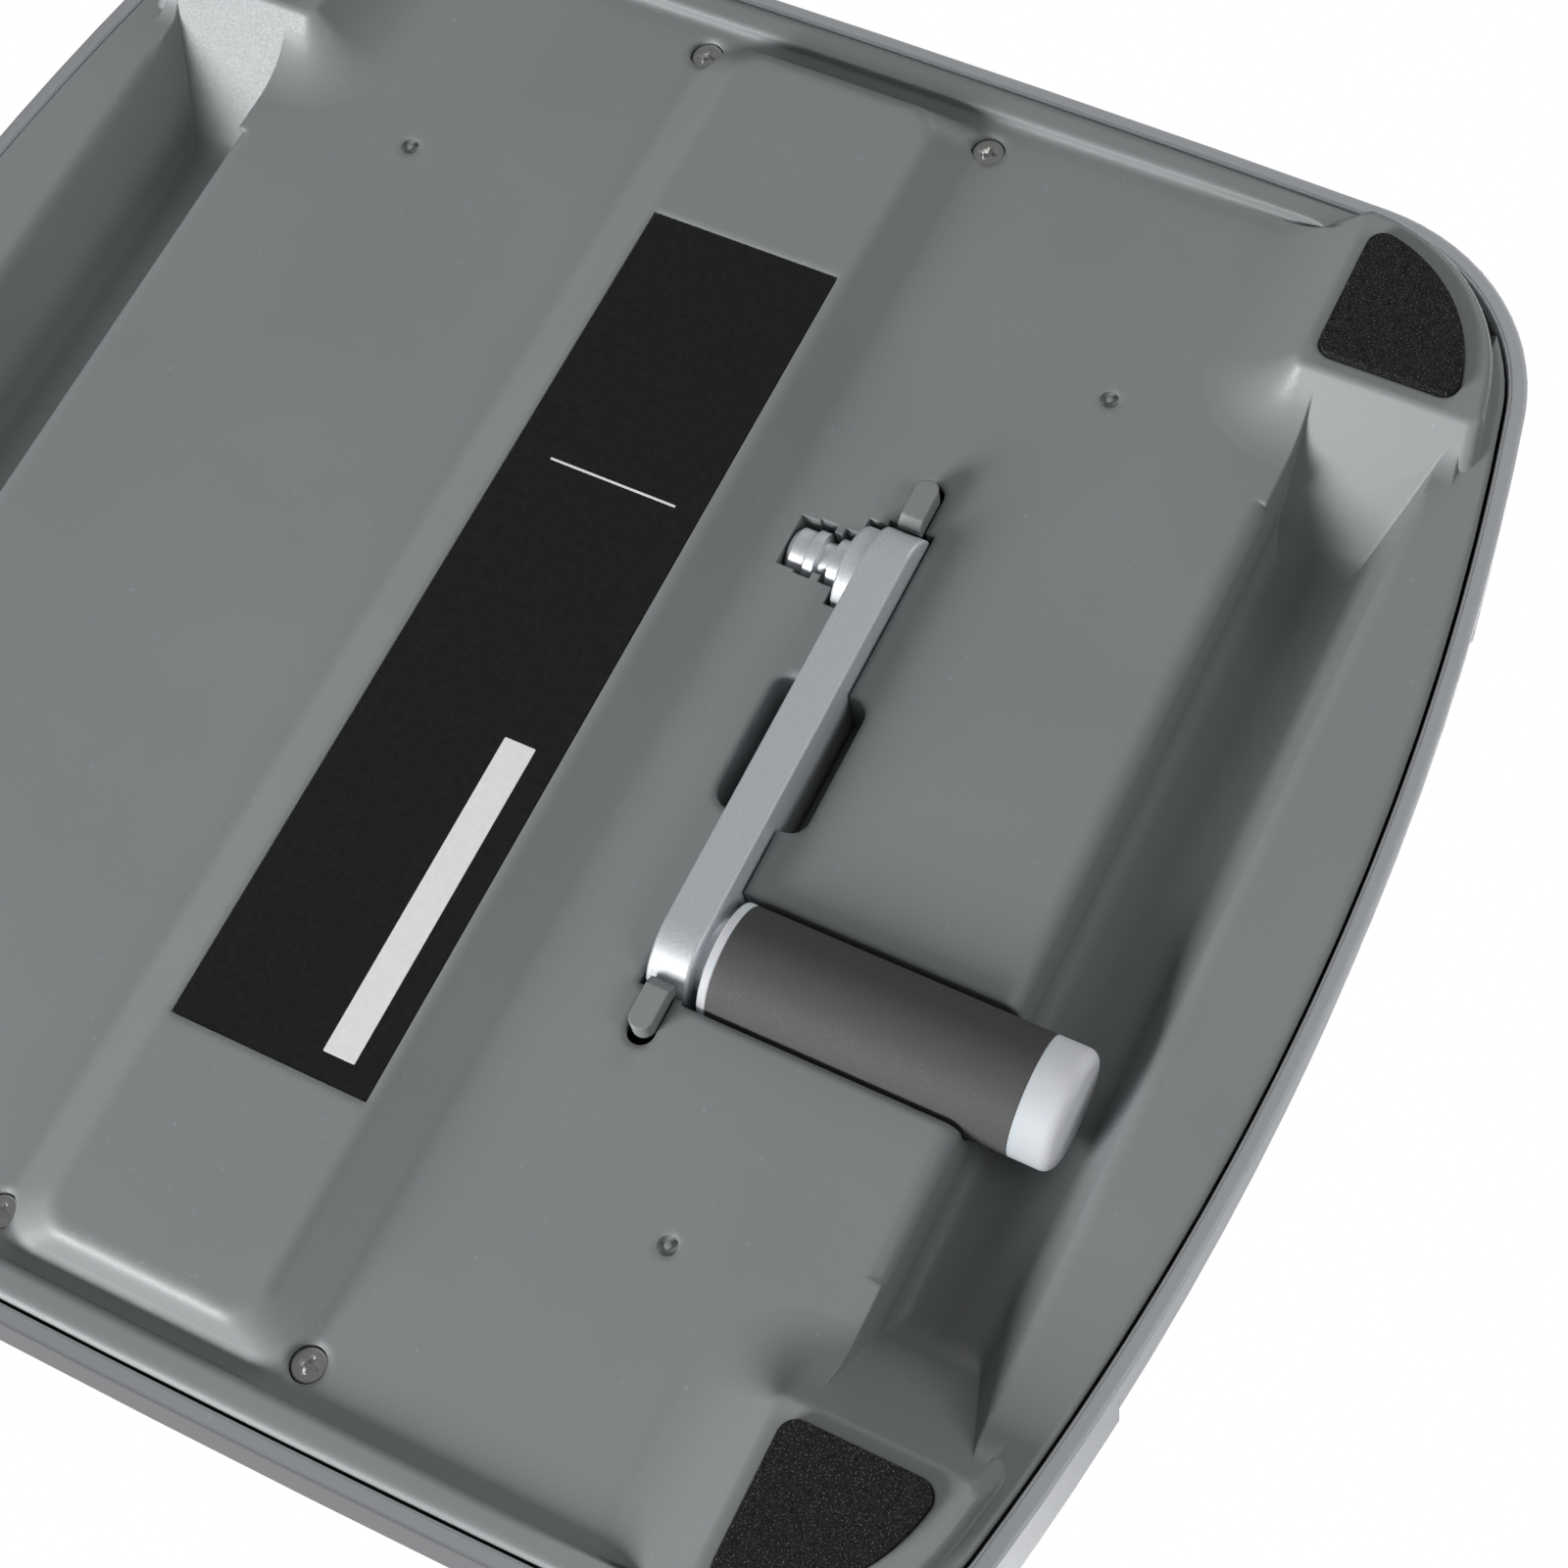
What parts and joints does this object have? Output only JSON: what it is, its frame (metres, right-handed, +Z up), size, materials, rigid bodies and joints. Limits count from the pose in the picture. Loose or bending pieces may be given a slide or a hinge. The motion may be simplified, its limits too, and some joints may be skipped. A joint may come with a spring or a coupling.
{
  "type": "die cutting machine",
  "caption": "Hand-cranked roller press that cuts and embosses card: grey moulded base with the crank clipped underneath, two gear towers, a hood with a carry slot, and geared rollers",
  "frame": {"origin": "on the table, under the middle of the machine's bounding box", "axes": "+X along the rollers towards the drive socket, +Y along the feed away from the operator, +Z up"},
  "size_m": [0.374, 0.398, 0.168],
  "materials": {
    "base_grey": "fine moulded texture",
    "shell_pale": "satin moulding",
    "foot_rubber": "moulded, fine grain",
    "label_black": "printed film, text left off",
    "arm_silver": "satin lacquer over a cast bar",
    "stub_bright": "turned and plated",
    "grip_dark": "soft overmould",
    "grip_white": "moulded",
    "frame_steel": "sheared sheet",
    "roller_steel": "ground",
    "gear_steel": "hobbed, oiled",
    "bush_brass": "sintered",
    "screw_steel": "zinc plated",
    "collar_grey": "moulded"
  },
  "bodies": {
    "base": {"base_pan": "base_grey", "label_plate": "label_black", "rear_right_pad": "foot_rubber", "rear_left_pad": "foot_rubber", "front_right_pad": "foot_rubber", "front_left_pad": "foot_rubber", "lower_shell": "shell_pale", "top_cover": "shell_pale", "left_tower_cover": "shell_pale", "right_tower_cover": "shell_pale", "left_side_plate": "frame_steel", "right_side_plate": "frame_steel", "left_latch_pin": "screw_steel", "right_latch_pin": "screw_steel", "gear_plate": "frame_steel", "gear_plate_spacers": "screw_steel", "gear_plate_screws": "screw_steel", "lower_tie_bars": "screw_steel", "upper_tie_bars": "screw_steel", "frame_screws": "screw_steel", "pan_screws": "screw_steel", "drive_inner_bush": "bush_brass", "drive_outer_bush": "bush_brass", "drive_collar": "collar_grey", "lower_left_bush": "bush_brass", "lower_right_bush": "bush_brass", "lower_gear_bush": "bush_brass", "upper_left_bush": "bush_brass", "upper_right_bush": "bush_brass", "upper_gear_bush": "bush_brass"},
    "upper_roller": {"upper_roller_sleeve": "roller_steel", "upper_roller_shaft": "roller_steel", "upper_roller_gear": "gear_steel", "upper_roller_clip": "screw_steel"},
    "lower_roller": {"lower_roller_sleeve": "roller_steel", "lower_roller_shaft": "roller_steel", "lower_roller_gear": "gear_steel", "lower_roller_clip": "screw_steel"},
    "drive": {"drive_pinion": "gear_steel", "drive_shaft": "roller_steel", "drive_socket": "stub_bright", "socket_pin": "screw_steel"},
    "crank": {"crank_arm": "arm_silver", "drive_stub": "stub_bright", "grip_spindle": "screw_steel"},
    "grip": {"grip_core": "grip_white", "grip_sleeve": "grip_dark", "grip_cap": "grip_white"},
    "left_latch": {"left_storage_latch": "base_grey"},
    "right_latch": {"right_storage_latch": "base_grey"}
  },
  "joints": [
    {"name": "upper_roller_spin", "type": "hinge", "parent": "base", "child": "upper_roller", "pos_m": [0, 0, 0.099], "axis": [1, 0, 0], "continuous": true},
    {"name": "lower_roller_spin", "type": "hinge", "parent": "base", "child": "lower_roller", "pos_m": [0, 0, 0.042], "axis": [1, 0, 0], "continuous": true},
    {"name": "drive_spin", "type": "hinge", "parent": "base", "child": "drive", "pos_m": [0.1591, 0, 0.138], "axis": [1, 0, 0], "continuous": true},
    {"name": "crank_lift", "type": "slide", "parent": "base", "child": "crank", "axis": [0, 0, -1], "range_m": [0, 0.05], "deforming": ["left_storage_latch", "right_storage_latch"]},
    {"name": "grip_spin", "type": "hinge", "parent": "crank", "child": "grip", "pos_m": [0.049, -0.118, 0.019], "axis": [0, 1, 0], "continuous": true},
    {"name": "left_latch_flex", "type": "hinge", "parent": "base", "child": "left_latch", "pos_m": [-0.0682, -0.0681, 0.044], "axis": [0, 1, 0], "range_deg": [0, 3], "stiffness_Nm_per_rad": 0.4},
    {"name": "right_latch_flex", "type": "hinge", "parent": "base", "child": "right_latch", "pos_m": [0.0682, -0.0681, 0.044], "axis": [0, -1, 0], "range_deg": [0, 3], "stiffness_Nm_per_rad": 0.4}
  ],
  "couplings": [
    {"joint": "lower_roller_spin", "follows": "upper_roller_spin", "ratio": -1},
    {"joint": "drive_spin", "follows": "upper_roller_spin", "ratio": -2.7143}
  ]
}
